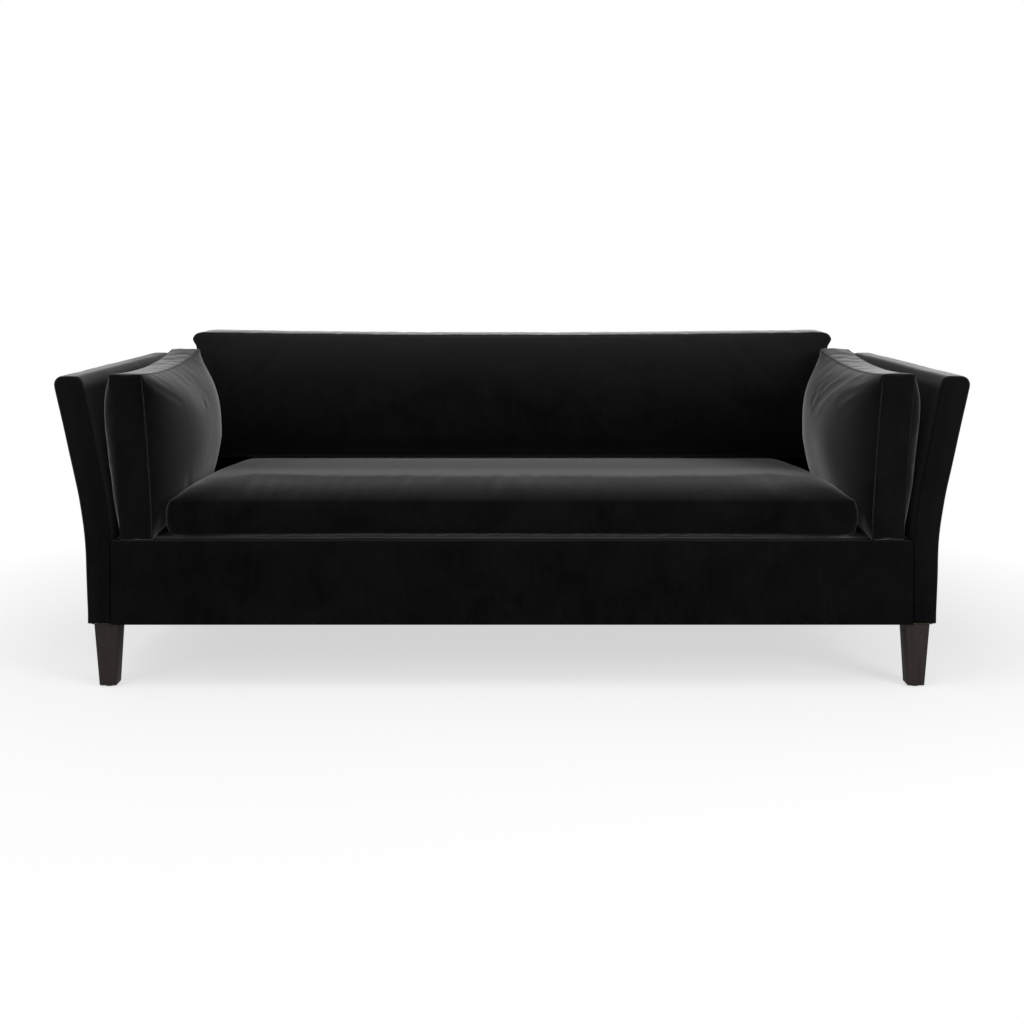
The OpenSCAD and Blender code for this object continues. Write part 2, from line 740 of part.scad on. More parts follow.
function arm_pad_point(p) = let (
        half = arm_pad_t / 2,
        d = (p.x + arm_pad_d / 2) / arm_pad_d, h = (p.y + arm_pad_h / 2) / arm_pad_h,
        w = p.z < -half ? -half + (p.z + half) * belly(d, h)
            : p.z > half ? half + (p.z - half) * mix(1, outer_rear_share, d) * mix(outer_low_share, 1, h)
            : p.z,
        lift = corner_lift * pow(max(0, d), 3) * max(0, 2 * h - 1))
    [arm_pad_x + w + arm_pad_h * h * tan(arm_pad_lean),
        front_y + arm_pad_d * d + soft_fit + boxing_swell,
        deck_h + soft_fit + boxing_swell * rest_share + arm_pad_h * h + lift];

// the foam block follows the lean and the lift of its case
module arm_cushion_block(grow) {
    inset = foam_inset - grow;
    thick = arm_pad_t / 2 - fibre_t + grow;
    corners = [for (c = [[1, 1], [-1, 1], [-1, -1], [1, -1]])
        [c.x * (arm_pad_d / 2 - inset), c.y * (arm_pad_h / 2 - inset)]];
    skin([for (w = [-thick, thick]) [for (c = corners) arm_pad_point([c.x, c.y, w])]],
        arm_pad_point([0, 0, -thick]), arm_pad_point([0, 0, thick]));
}

module arm_cushion() {
    rings = cushion_rings([arm_pad_d / 2, arm_pad_h / 2, arm_pad_crest_share],
        arm_pad_t * arm_pad_corner_share, arm_pad_pull, -arm_pad_t / 2, arm_pad_t / 2,
        arm_pad_crown, arm_pad_back_crown, arm_pad_inner_edges, arm_pad_outer_edges);
    color(velvet) difference() {
        skin([for (r = rings) [for (p = r) arm_pad_point(p)]],
            arm_pad_point([0, 0, -arm_pad_t / 2 - arm_pad_crown]),
            arm_pad_point([0, 0, arm_pad_t / 2 + arm_pad_back_crown]));
        arm_cushion_block(fit);
    }
}

module arm_foam() {
    color(foam) arm_cushion_block(0);
}

module arm_cushion_right() arm_cushion();
module arm_cushion_left() mirror([1, 0, 0]) arm_cushion();
module arm_foam_right() arm_foam();
module arm_foam_left() mirror([1, 0, 0]) arm_foam();

// Seat cushion: u to the right, v to the rear, w up
seat_back_gap = 4;
seat_half_w = arm_pad_x - arm_pad_t / 2 - seat_side_gap;
seat_tuck_share = 0.68;
seat_rear_half_w = seat_half_w - arm_pad_crown * seat_tuck_share;
seat_swell = 8;
seat_d = well_y - front_y - seat_back_gap - seat_swell + boxing_swell;
seat_z0 = deck_h + seat_seam_h;
seat_z1 = seat_z0 + seat_boxing;
seat_pull = 6;
seat_crest_share = 0.6;
seat_low_edges = [40, 24];
seat_top_edges = [18, 3];
seat_fall_share = 0.73;

// the boxing swells most at the front, less along the ends and least at the rear
function seat_point(p) = let (
        d = (p.y + seat_d / 2) / seat_d,
        middle = max(0, 1 - pow(2 * (p.z - seat_z0) / seat_boxing - 1, 2)),
        swell = (seat_swell - boxing_swell) * middle * (1 - clamped(d, 0, 1)))
    [p.x * (mix(1, seat_rear_half_w / seat_half_w, d) + swell / seat_half_w),
        front_y + 2 * soft_fit + seat_swell + p.y + seat_d / 2 - swell,
        p.z > seat_z1 ? seat_z1 + (p.z - seat_z1) * (1 - seat_fall_share * d * d) : p.z];

module seat_block(grow) {
    inset = foam_inset - grow;
    front_x = seat_half_w - inset;
    rear_x = seat_rear_half_w - inset;
    translate([0, 0, seat_z0 - grow]) linear_extrude(seat_boxing + 2 * grow)
        polygon([[-front_x, front_y + inset], [front_x, front_y + inset],
            [rear_x, front_y + seat_d - inset], [-rear_x, front_y + seat_d - inset]]);
}

module seat_cushion() {
    rest = seat_seam_h - soft_fit;
    rings = cushion_rings([seat_half_w, seat_d / 2, seat_crest_share], seat_corner_r, seat_pull,
        seat_z0, seat_z1, rest, seat_crown, seat_low_edges, seat_top_edges);
    color(velvet) difference() {
        skin([for (r = rings) [for (p = r) seat_point(p)]],
            seat_point([0, 0, seat_z0 - rest]), seat_point([0, 0, seat_z1 + seat_crown]));
        seat_block(fit);
    }
}

module seat_foam() {
    color(foam) seat_block(0);
}

// Back cushion: u to the right, v up, w to the front
back_narrow_share = 0.7;
back_seat_share = 0.652;
back_pad_half_w = arm_pad_x - arm_pad_t / 2 + back_pad_over;
back_pad_narrow = arm_pad_crown * back_narrow_share;
back_pad_z = seat_z1 + seat_crown * back_seat_share;
foot_thick_share = 1.22;
head_thick_share = 0.78;
back_pad_pull = 8;
// the foot sags onto the seat cushion by a little more than its seams are drawn in
back_pad_sag = 10;
back_crest_share = 0.8;
back_pad_edges = [10, 2.4];

function back_pad_thick(h) = mix(foot_thick_share, head_thick_share, h);
function back_seam_y(h) = mix(back_y(back_pad_z) - foot_gap, back_y(arm_h) - head_gap, h);

function back_pad_point(p) = let (
        h = (p.y + back_pad_h / 2) / back_pad_h, front = clamped(p.z / back_pad_t, 0, 1))
    [p.x * (1 - back_pad_narrow / back_pad_half_w * front * (1 - pow(clamped(h, 0, 1), 3))),
        back_seam_y(h) - p.z * back_pad_thick(h),
        back_pad_z + back_pad_h * h - back_pad_sag * (1 - h) * (1 - pow(p.x / back_pad_half_w, 2))];

module back_block(grow) {
    low = back_pad_z + foam_inset - grow;
    high = back_pad_z + back_pad_h - foam_inset + grow;
    low_h = (low - back_pad_z) / back_pad_h;
    high_h = (high - back_pad_z) / back_pad_h;
    side = back_pad_half_w - back_pad_narrow - foam_inset + grow;
    near = fibre_t - grow;
    color(foam) run_x(-side, side) polygon([
        [back_seam_y(low_h) - near, low], [back_seam_y(high_h) - near, high],
        [back_seam_y(high_h) - back_pad_t * back_pad_thick(high_h) + near, high],
        [back_seam_y(low_h) - back_pad_t * back_pad_thick(low_h) + near, low]]);
}

module back_cushion() {
    rings = cushion_rings([back_pad_half_w, back_pad_h / 2, back_crest_share], back_pad_corner_r,
        back_pad_pull, 0, back_pad_t, back_pad_rear_crown, back_pad_crown, back_pad_edges, back_pad_edges);
    color(velvet) difference() {
        skin([for (r = rings) [for (p = r) back_pad_point(p)]],
            back_pad_point([0, 0, -back_pad_rear_crown]),
            back_pad_point([0, 0, back_pad_t + back_pad_crown]));
        back_block(fit);
    }
}

module back_foam() {
    back_block(0);
}

leg_front_left();
leg_front_right();
leg_rear_left();
leg_rear_right();
leg_glides();
leg_plates();
hanger_bolts();
corner_blocks();
corner_screws();
front_rail();
rear_rail();
side_rail_left();
side_rail_right();
seat_stretchers();
seat_springs();
spring_clips();
tie_wires();
front_edge_roll();
deck_pad();
deck_cover();
dust_cover();
front_post_left();
front_post_right();
rear_post_left();
rear_post_right();
arm_top_rail_left();
arm_top_rail_right();
arm_boards_left();
arm_boards_right();
arm_cover_left();
arm_cover_right();
back_uprights();
back_top_rail();
back_front_board();
back_rear_board();
back_cover();
front_rail_cover();
seat_cushion();
seat_foam();
arm_cushion_left();
arm_cushion_right();
arm_foam_left();
arm_foam_right();
back_cushion();
back_foam();
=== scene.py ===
# Tuxedo sofa in black velvet: two flared arms, a back of the same height, four loose cushions, dark legs
import json
import math

import bmesh
import bpy
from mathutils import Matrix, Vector, noise
from mathutils.bvhtree import BVHTree
from mathutils.kdtree import KDTree


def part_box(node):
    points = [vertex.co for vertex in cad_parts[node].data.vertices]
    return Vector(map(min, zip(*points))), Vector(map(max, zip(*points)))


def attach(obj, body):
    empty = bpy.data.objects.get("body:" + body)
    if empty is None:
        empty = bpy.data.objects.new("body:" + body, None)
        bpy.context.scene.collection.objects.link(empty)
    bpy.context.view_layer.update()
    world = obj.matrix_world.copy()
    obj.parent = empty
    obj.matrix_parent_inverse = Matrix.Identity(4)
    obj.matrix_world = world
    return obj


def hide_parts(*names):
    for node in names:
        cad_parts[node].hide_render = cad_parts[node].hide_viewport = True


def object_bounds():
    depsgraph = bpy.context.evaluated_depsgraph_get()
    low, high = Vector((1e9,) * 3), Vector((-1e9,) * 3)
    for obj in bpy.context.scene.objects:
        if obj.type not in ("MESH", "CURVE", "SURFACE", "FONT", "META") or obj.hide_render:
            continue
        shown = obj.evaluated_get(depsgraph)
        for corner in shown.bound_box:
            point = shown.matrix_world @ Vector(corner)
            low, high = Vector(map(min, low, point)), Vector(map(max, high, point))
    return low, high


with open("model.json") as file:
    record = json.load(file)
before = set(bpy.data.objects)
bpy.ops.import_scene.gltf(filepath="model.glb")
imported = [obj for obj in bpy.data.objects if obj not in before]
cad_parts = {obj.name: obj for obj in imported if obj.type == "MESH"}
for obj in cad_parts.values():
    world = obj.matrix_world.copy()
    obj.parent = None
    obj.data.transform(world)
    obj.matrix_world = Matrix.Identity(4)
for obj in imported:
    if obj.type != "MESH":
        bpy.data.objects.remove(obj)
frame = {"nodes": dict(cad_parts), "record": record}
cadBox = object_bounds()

scene = bpy.context.scene
cadNodes = frame["nodes"]

# the photographer's camera: level, in front of the middle, with the picture shifted down
view = {"place": (0, -3.695, 1.016), "lens": 48, "sensor": 36, "shiftUp": -0.243}

bpy.ops.object.camera_add(location=view["place"], rotation=(math.radians(90), 0, 0))
camera = bpy.context.object
camera.data.lens = view["lens"]
camera.data.sensor_width = view["sensor"]
camera.data.shift_y = view["shiftUp"]
scene.camera = camera
print("camera set")


def linear(code):  # an sRGB hex colour as linear light
    parts = [int(code[i:i + 2], 16) / 255 for i in (1, 3, 5)]
    return [p / 12.92 if p <= 0.04045 else ((p + 0.055) / 1.055) ** 2.4 for p in parts] + [1]


def addNode(material, kind, settings=None, links=None):
    node = material.node_tree.nodes.new("ShaderNode" + kind)
    for name, value in (settings or {}).items():
        if isinstance(name, int) or name in node.inputs:
            node.inputs[name].default_value = value
        elif name == "stops":
            for stop, (place, code) in zip(node.color_ramp.elements, value):
                stop.position = place
                stop.color = linear(code)
        else:
            setattr(node, name, value)
    for name, socket in (links or {}).items():
        material.node_tree.links.new(socket, node.inputs[name])
    return node


def newMaterial(name, settings):
    material = bpy.data.materials.new(name)
    material.use_nodes = True
    shader = material.node_tree.nodes["Principled BSDF"]
    for socket, value in settings.items():
        shader.inputs[socket].default_value = value
    return material, shader


def wire(material, shader, sources):
    for socket, source in sources.items():
        material.node_tree.links.new(source, shader.inputs[socket])


velvetLook = {
    "deep": "#040404", "worn": "#0a0a0a",
    "patchSize": 0.13, "napLength": 0.05, "napWidth": 0.012,
    "pileSize": 0.0024,  # the real pile is finer, 0.4 mm, and would not show
    "napShare": 0.35, "pileShare": 0.3, "napDepth": 0.002, "pileDepth": 0.0004,
    "roughness": (0.98, 0.8), "sheenTint": "#dcdcdc", "sheenRoughness": 0.33, "gloss": 0.03,
}
# the middle of the flared walls, at the deck and at the top, and how much nearer the rear one is
wallMiddle = {"heights": (0.353, 0.747), "places": (0.987, 1.055), "rear": 0.647, "soft": 0.008}


def rampAlong(material, place, axis, start, end, before, after, kind="SMOOTHSTEP"):
    # a value that changes between two places along an axis
    return addNode(material, "MapRange", {
        "interpolation_type": kind, "From Min": start, "From Max": end,
        "To Min": before, "To Max": after}, {"Value": place.outputs[axis]}).outputs["Result"]


def outsideShare(material, place):  # 1 on the outer faces of the flared walls and 0 inside them
    middle = rampAlong(material, place, "Z", *wallMiddle["heights"], *wallMiddle["places"], kind="LINEAR")
    across = addNode(material, "Math", {"operation": "ABSOLUTE"}, {0: place.outputs["X"]})
    along = addNode(material, "Math", {"operation": "ADD", 1: wallMiddle["rear"]}, {0: place.outputs["Y"]})
    reach = addNode(material, "Math", {"operation": "MAXIMUM"}, {0: across.outputs["Value"],
                                                                1: along.outputs["Value"]})
    beyond = addNode(material, "Math", {"operation": "SUBTRACT"}, {0: reach.outputs["Value"], 1: middle})
    soft = wallMiddle["soft"]
    return addNode(material, "MapRange", {"From Min": -soft, "From Max": soft},
                   {"Value": beyond.outputs["Value"]}).outputs["Result"]


def cottonVelvet(name, paintedSheenRamps, paintedLightRamp, outside=0):
    # cut cotton pile, its nap laid in strokes: black where looked at straight, a pale sheen where it turns
    # away;
    # the sheen weight and the base colour are also set by place, as painted light and painted shade
    look = velvetLook
    material, shader = newMaterial(name, {
        "Sheen Roughness": look["sheenRoughness"], "Sheen Tint": linear(look["sheenTint"]),
        "Specular IOR Level": look["gloss"]})
    place = addNode(material, "TexCoord").outputs["Object"]
    apart = addNode(material, "SeparateXYZ", {}, {0: place})
    # the sheen weight is painted by place: lower as painted shade where less light reaches, higher as painted
    # sheen where light falls
    levels = [rampAlong(material, apart, *bloom) for bloom in paintedSheenRamps]
    sheen = addNode(material, "Math", {"operation": "MINIMUM"}, {0: levels[0], 1: levels[-1]})
    combed = addNode(material, "Mapping", {
        "Scale": (1 / look["napWidth"], 1 / look["napLength"], 1 / look["napLength"])}, {"Vector": place})
    patches = addNode(material, "TexNoise", {
        "Scale": 1 / look["patchSize"], "Detail": 4, "Roughness": 0.6, "Distortion": 0.7}, {"Vector": place})
    strokes = addNode(material, "TexNoise", {"Scale": 1, "Detail": 3, "Distortion": 0.4},
                      {"Vector": combed.outputs["Vector"]})
    pile = addNode(material, "TexNoise", {"Scale": 1 / look["pileSize"], "Detail": 2, "Roughness": 0.7},
                   {"Vector": place})
    nap = addNode(material, "Math", {"operation": "MULTIPLY_ADD", 1: look["napShare"]},
                  {0: strokes.outputs["Fac"], 2: patches.outputs["Fac"]})
    worn = addNode(material, "Math", {"operation": "MULTIPLY_ADD", 1: look["pileShare"]},
                   {0: pile.outputs["Fac"], 2: nap.outputs["Value"]})
    shades = addNode(material, "ValToRGB", {"stops": [(0.55, look["deep"]), (1.0, look["worn"])]},
                     {"Fac": worn.outputs["Value"]})
    rough = addNode(material, "MapRange", {
        "From Min": 0.5, "From Max": 1, "To Min": look["roughness"][0], "To Max": look["roughness"][1]},
        {"Value": nap.outputs["Value"]})
    lay = addNode(material, "Bump", {"Strength": 0.25, "Distance": look["napDepth"]},
                  {"Height": strokes.outputs["Fac"]})
    tufts = addNode(material, "Bump", {"Strength": 0.5, "Distance": look["pileDepth"]},
                    {"Height": pile.outputs["Fac"], "Normal": lay.outputs["Normal"]})
    # the outer faces of the walls keep an even sheen, so the painted shade of low sheen stays on the inner
    # faces and in the gaps
    if outside:
        outer = addNode(material, "Math", {"operation": "MULTIPLY", 1: outside},
                        {0: outsideShare(material, apart)})
        sheen = addNode(material, "Math", {"operation": "MAXIMUM"}, {0: sheen.outputs["Value"],
                                                                    1: outer.outputs["Value"]})
    # painted light: the base colour turns paler along one axis, towards where more light falls
    axis, start, end, colour = paintedLightRamp
    pale = addNode(material, "Mix", {"data_type": "RGBA", 7: linear(colour)}, {
        0: rampAlong(material, apart, axis, start, end, 0, 1), 6: shades.outputs["Color"]})  # 6 and 7 are mixed
    wire(material, shader, {"Base Color": pale.outputs[2], "Roughness": rough.outputs["Result"],
                            "Normal": tufts.outputs["Normal"], "Sheen Weight": sheen.outputs["Value"]})
    return material


woodLook = {"poresPerRing": 6, "poreShare": 0.4, "smoother": 0.08, "rougher": 0.1}


def grainedWood(name, stops, roughness, gloss, ringSize, grainLength, poreDepth):
    material, shader = newMaterial(name, {"Specular IOR Level": gloss})
    place = addNode(material, "TexCoord").outputs["Object"]
    along = addNode(material, "Mapping", {
        "Scale": (1 / ringSize, 1 / ringSize, 1 / grainLength)}, {"Vector": place})
    grain = addNode(material, "TexNoise", {"Scale": 1, "Detail": 5, "Roughness": 0.65, "Distortion": 0.3},
                    {"Vector": along.outputs["Vector"]})
    pores = addNode(material, "TexNoise", {"Scale": woodLook["poresPerRing"], "Detail": 2},
                    {"Vector": along.outputs["Vector"]})
    mixed = addNode(material, "Math", {"operation": "MULTIPLY_ADD", 1: woodLook["poreShare"]},
                    {0: pores.outputs["Fac"], 2: grain.outputs["Fac"]})
    shades = addNode(material, "ValToRGB", {"stops": stops}, {"Fac": mixed.outputs["Value"]})
    rough = addNode(material, "MapRange", {
        "To Min": roughness - woodLook["smoother"], "To Max": roughness + woodLook["rougher"]},
        {"Value": pores.outputs["Fac"]})
    relief = addNode(material, "Bump", {"Strength": 0.35, "Distance": poreDepth},
                     {"Height": pores.outputs["Fac"]})
    wire(material, shader, {"Base Color": shades.outputs["Color"], "Roughness": rough.outputs["Result"],
                            "Normal": relief.outputs["Normal"]})
    return material


def espressoBeech():
    # beech, stained dark and oiled: faint upright grain under a low gloss
    return grainedWood("espressoBeech", [(0.45, "#130e0d"), (0.95, "#271e1b")], roughness=0.45, gloss=0.22,
                       ringSize=0.009, grainLength=0.09, poreDepth=0.0002)


def planedBeech():
    # kiln-dried beech, planed and left bare: pale, with short flecks
    return grainedWood("planedBeech", [(0.4, "#b08f63"), (0.95, "#d8bd92")], roughness=0.62, gloss=0.4,
                       ringSize=0.014, grainLength=0.16, poreDepth=0.0003)


def followPattern(material, shader, pattern, stops, roughness, depth):
    # colour, roughness and relief all follow one pattern
    shades = addNode(material, "ValToRGB", {"stops": stops}, {"Fac": pattern})
    rough = addNode(material, "MapRange", {"To Min": roughness[0], "To Max": roughness[1]},
                    {"Value": pattern})
    relief = addNode(material, "Bump", {"Strength": 0.4, "Distance": depth}, {"Height": pattern})
    wire(material, shader, {"Base Color": shades.outputs["Color"], "Roughness": rough.outputs["Result"],
                            "Normal": relief.outputs["Normal"]})
    return material


def speckled(name, settings, stops, size, roughness, depth):
    material, shader = newMaterial(name, settings)
    place = addNode(material, "TexCoord").outputs["Object"]
    grit = addNode(material, "TexNoise", {"Scale": 1 / size, "Detail": 3, "Roughness": 0.6},
                   {"Vector": place})
    return followPattern(material, shader, grit.outputs["Fac"], stops, roughness, depth)


def zincSteel():
    # bright zinc plate and drawn spring wire: cool metal with a cloudy gloss
    return speckled("zincSteel", {"Metallic": 1}, [(0.3, "#8b8e91"), (0.7, "#b4b7ba")],
                    size=0.004, roughness=(0.28, 0.45), depth=0.0001)


def openCellFoam():
    # cut foam and fibre: cream, matt, full of small cells
    return speckled("openCellFoam", {"Specular IOR Level": 0.2}, [(0.35, "#d2c596"), (0.65, "#efe6c4")],
                    size=0.0018, roughness=(0.85, 1), depth=0.0006)


def wovenLining(name, stops, thread, depth):
    # black lining cloth and paper cord, matt and plainly woven: the cross of the threads just shows; a
    # wave of scale 1 is 2 pi / 20 m long, so the threads are drawn six times coarser than they are
    material, shader = newMaterial(name, {"Specular IOR Level": 0.25, "Sheen Weight": 0.2})
    place = addNode(material, "TexCoord").outputs["Object"]
    threads = [addNode(material, "TexWave", {
        "bands_direction": way, "Scale": 1 / thread / 20, "Distortion": 1.5, "Detail": 1}, {"Vector": place})
        for way in ("X", "Y")]
    weave = addNode(material, "Math", {"operation": "MULTIPLY"},
                    {0: threads[0].outputs["Fac"], 1: threads[1].outputs["Fac"]})
    return followPattern(material, shader, weave.outputs["Value"], stops, (0.8, 0.95), depth)


def mouldedNylon():
    # moulded nylon glide: black, slightly mottled
    return speckled("mouldedNylon", {}, [(0.3, "#121213"), (0.7, "#1d1d1f")],
                    size=0.002, roughness=(0.45, 0.6), depth=0.0001)


# each piece's painted sheen and painted light, set by place: a bloom is an axis, from and to in metres, and
# the sheen before and after, of two the lesser counts, less sheen being painted shade; the colour entry is an
# axis, from and to, and a paler base colour painted in as painted light; outside is the outer faces' sheen
paintedSheenAndLight = {
    # painted shade: almost no sheen on the walls below the arm tops, in the gaps and on the front rail
    "cover": {"name": "coverVelvet", "paintedSheenRamps": [("Z", 0.71, 0.745, 0.08, 0.75)],
              "paintedLightRamp": ("Z", 0.2, 0.7, "#0b0b0b"), "outside": 0.7},
    # painted shade: less sheen at the seat's front edge and at its rear under the back cushion; painted sheen
    # between
    "seat": {"name": "seatVelvet",
             "paintedSheenRamps": [("Y", -0.44, -0.30, 0.18, 0.80), ("Y", -0.34, -0.12, 0.80, 0.28)],
             "paintedLightRamp": ("Y", -0.42, -0.2, "#0c0c0c")},
    # painted light: more sheen and a paler colour on the arm cushions' inner faces towards the rear, less
    # sheen low down
    "arm": {"name": "armCushionVelvet",
            "paintedSheenRamps": [("Y", -0.43, -0.34, 0.6, 0.9), ("Z", 0.38, 0.55, 0.7, 1)],
            "paintedLightRamp": ("Y", -0.435, -0.34, "#242424")},
    # painted light and sheen towards the top of the back cushion, painted shade lower down
    "back": {"name": "backCushionVelvet", "paintedSheenRamps": [("Z", 0.50, 0.80, 0.4, 1)],
             "paintedLightRamp": ("Z", 0.62, 0.84, "#151515")},
}
velvets = {piece: cottonVelvet(**settings) for piece, settings in paintedSheenAndLight.items()}
finishes = {
    "velvet": velvets["cover"],
    "leg_wood": espressoBeech(),
    "frame_timber": planedBeech(),
    "steel": zincSteel(),
    "paper_cord": wovenLining("paperCord", [(0, "#161616"), (1, "#2b2b2a")], thread=0.0015, depth=0.0003),
    "foam": openCellFoam(),
    "lining_cloth": wovenLining("liningCloth", [(0, "#08080a"), (1, "#1a1a1c")], thread=0.0016,
                                depth=0.0002),
    "glide_nylon": mouldedNylon(),
}
for entry in frame["record"]["subparts"]:
    part = cadNodes[entry["node"]].data
    part.materials.clear()
    part.materials.append(finishes[entry["material_slot"]])
print("finishes ready")


sameSpot = 0.00001  # what is nearer than this is one place
uprightRise = 0.01  # an edge that climbs more than this is an upright one


def near(a, b):
    return abs(a - b) < sameSpot


def isUpright(edge):
    return abs(edge.verts[0].co.z - edge.verts[1].co.z) > uprightRise


def activate(piece):
    bpy.ops.object.select_all(action="DESELECT")
    piece.select_set(True)
    bpy.context.view_layer.objects.active = piece


def startEdit(piece):
    activate(piece)
    bpy.ops.object.mode_set(mode="EDIT")


def endEdit():
    bpy.ops.object.mode_set(mode="OBJECT")


def pick(piece, kind, test):  # in edit mode, selects only what passes the test
    bpy.ops.mesh.select_mode(type=kind)
    bpy.ops.mesh.select_all(action="DESELECT")
    mesh = bmesh.from_edit_mesh(piece.data)
    for part in mesh.edges if kind == "EDGE" else mesh.faces:
        if test(part):
            part.select_set(True)
    bmesh.update_edit_mesh(piece.data)


def addPrimitive(name, add, **settings):
    bpy.ops.object.select_all(action="DESELECT")
    add(**settings)
    piece = bpy.context.object
    piece.name = name
    bpy.ops.object.transform_apply(location=True, rotation=True, scale=True)
    return piece


def moveVertices(piece, rule):  # in object mode, each vertex goes where the rule puts it
    for vertex in piece.data.vertices:
        vertex.co = rule(vertex.co)
    piece.data.update()


def soften(piece):  # one round of subdivision
    soft = piece.modifiers.new("soft", "SUBSURF")
    soft.levels = soft.render_levels = 1
    activate(piece)
    bpy.ops.object.modifier_apply(modifier="soft")


def thicken(piece, thickness):  # inwards, as a cover lies on its frame
    cloth = piece.modifiers.new("cloth", "SOLIDIFY")
    cloth.thickness = thickness
    cloth.offset = -1
    activate(piece)
    bpy.ops.object.modifier_apply(modifier="cloth")


def finishPiece(piece, body, slot, *replaced):
    piece.data.materials.clear()
    piece.data.materials.append(finishes[slot])
    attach(piece, body)
    if replaced:
        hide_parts(*replaced)


# the flared walls follow the solids: sizes in metres, leans in degrees
wall = {
    "foot": 0.155, "top": 0.747, "deck": 0.353, "tuck": 0.335, "hem": 0.004,
    "lowerLean": 1.7, "upperLean": 12.8, "bendStart": 0.306, "bendRadius": 0.95,
    "footThick": 0.056, "topThick": 0.07, "clothThick": 0.008,
    "outerEdge": 0.026, "innerEdge": 0.014, "endEdge": 0.009, "seamWidth": 0.0022, "seamDepth": 0.0016,
    "levelStep": 0.022, "stationStep": 0.024,
    "endLap": 0.006,  # how far the ends of the back's cover run into the arms' covers
    "unevenness": 0.0011, "unevenSize": 0.11, "fineShare": 0.35, "fineRatio": 3.7,
    "weld": 0.00005, "tuckEdge": 0.002, "frontSkin": 0.6,
}
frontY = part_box("arm_cover_right")[0].y


def flare(z):
    low = math.radians(wall["lowerLean"])
    high = math.radians(wall["upperLean"])
    straight = (min(z, wall["bendStart"]) - wall["foot"]) * math.tan(low)
    if z <= wall["bendStart"]:
        return straight
    radius = wall["bendRadius"]
    bendEnd = wall["bendStart"] + radius * (math.sin(high) - math.sin(low))
    lean = math.asin(math.sin(low) + (min(z, bendEnd) - wall["bendStart"]) / radius)
    return straight + radius * (math.cos(low) - math.cos(lean)) + max(0, z - bendEnd) * math.tan(high)


# how far the rounded top edge stands out past the foot of the wall
edgeReach = (flare(wall["top"] - wall["outerEdge"]) + wall["outerEdge"]
             - wall["outerEdge"] / math.cos(math.radians(wall["upperLean"])))
outerFoot = cadBox[1][0] - edgeReach
rearFoot = cadBox[1][1] - edgeReach


def thickness(z):  # the inner face is upright up to the deck, and from there the wall thickens evenly
    footAtDeck = wall["footThick"] + flare(wall["deck"])
    if z < wall["deck"]:
        return wall["footThick"] + flare(z)
    share = (z - wall["deck"]) / (wall["top"] - wall["deck"])
    return footAtDeck + (wall["topThick"] - footAtDeck) * share


def innerX(z):
    return outerFoot + flare(z) - thickness(z)


def uneven(point, normal):  # the slight unevenness of stretched velvet over wadding
    coarse = noise.noise(point / wall["unevenSize"])
    fine = noise.noise(point / wall["unevenSize"] * wall["fineRatio"])
    return point + normal * (coarse + wall["fineShare"] * fine) * wall["unevenness"]


def makeUneven(piece, hemTop):  # the hem itself stays straight
    normals = [v.normal.copy() for v in piece.data.vertices]
    for vertex, normal in zip(piece.data.vertices, normals):
        if vertex.co.z > hemTop:
            vertex.co = uneven(vertex.co, normal)


def straightWall(name, length):
    # a box with the wall's top thickness, its edges rounded, before it is bent to the flare
    height = wall["top"] - wall["foot"]
    piece = addPrimitive(name, bpy.ops.mesh.primitive_cube_add, size=1,
                         location=(wall["topThick"] / 2, length / 2, wall["foot"] + height / 2),
                         scale=(wall["topThick"], length, height))
    startEdit(piece)
    for side, radius, steps in ((wall["topThick"], wall["outerEdge"], 6), (0, wall["innerEdge"], 4)):
        pick(piece, "EDGE", lambda e: all(near(v.co.z, wall["top"]) and near(v.co.x, side) for v in e.verts))
        bpy.ops.mesh.bevel(offset=radius, segments=steps, profile=0.5)
    return piece


def cutAt(axis, level):  # in edit mode, a line round the piece at one level
    normal = [float(i == axis) for i in range(3)]
    bpy.ops.mesh.select_all(action="SELECT")
    bpy.ops.mesh.bisect(plane_co=[level * n for n in normal], plane_no=normal)


def cutSlices(axis, start, end, step):
    count = max(2, round((end - start) / step))
    for i in range(1, count):
        cutAt(axis, start + (end - start) * i / count)


def roundEnd(piece, y, facing):  # rounds an end of the box and sews its panel on with a fine seam
    pick(piece, "FACE", lambda f: f.normal.y * facing > 0.99)
    bpy.ops.mesh.region_to_loop()
    bpy.ops.mesh.bevel(offset=wall["endEdge"], segments=4, profile=0.5)
    pick(piece, "FACE", lambda f: f.normal.y * facing > 0.99 and near(f.calc_center_median().y, y))
    bpy.ops.mesh.inset(thickness=wall["seamWidth"], depth=-wall["seamDepth"])
    bpy.ops.mesh.inset(thickness=wall["seamWidth"], depth=wall["seamDepth"])


def finishWall(piece):  # the cover is open at the foot
    hemTop = wall["foot"] + wall["hem"]
    endEdit()  # the cuts made so far are stored
    startEdit(piece)
    bpy.ops.mesh.select_all(action="SELECT")
    bpy.ops.mesh.remove_doubles(threshold=wall["weld"])
    bpy.ops.mesh.normals_make_consistent(inside=False)
    pick(piece, "FACE", lambda f: f.normal.z < -0.9 and f.calc_center_median().z < hemTop)
    bpy.ops.mesh.delete(type="FACE")
    endEdit()
    makeUneven(piece, hemTop)
    thicken(piece, wall["clothThick"])
    soften(piece)
    bpy.ops.object.shade_smooth()


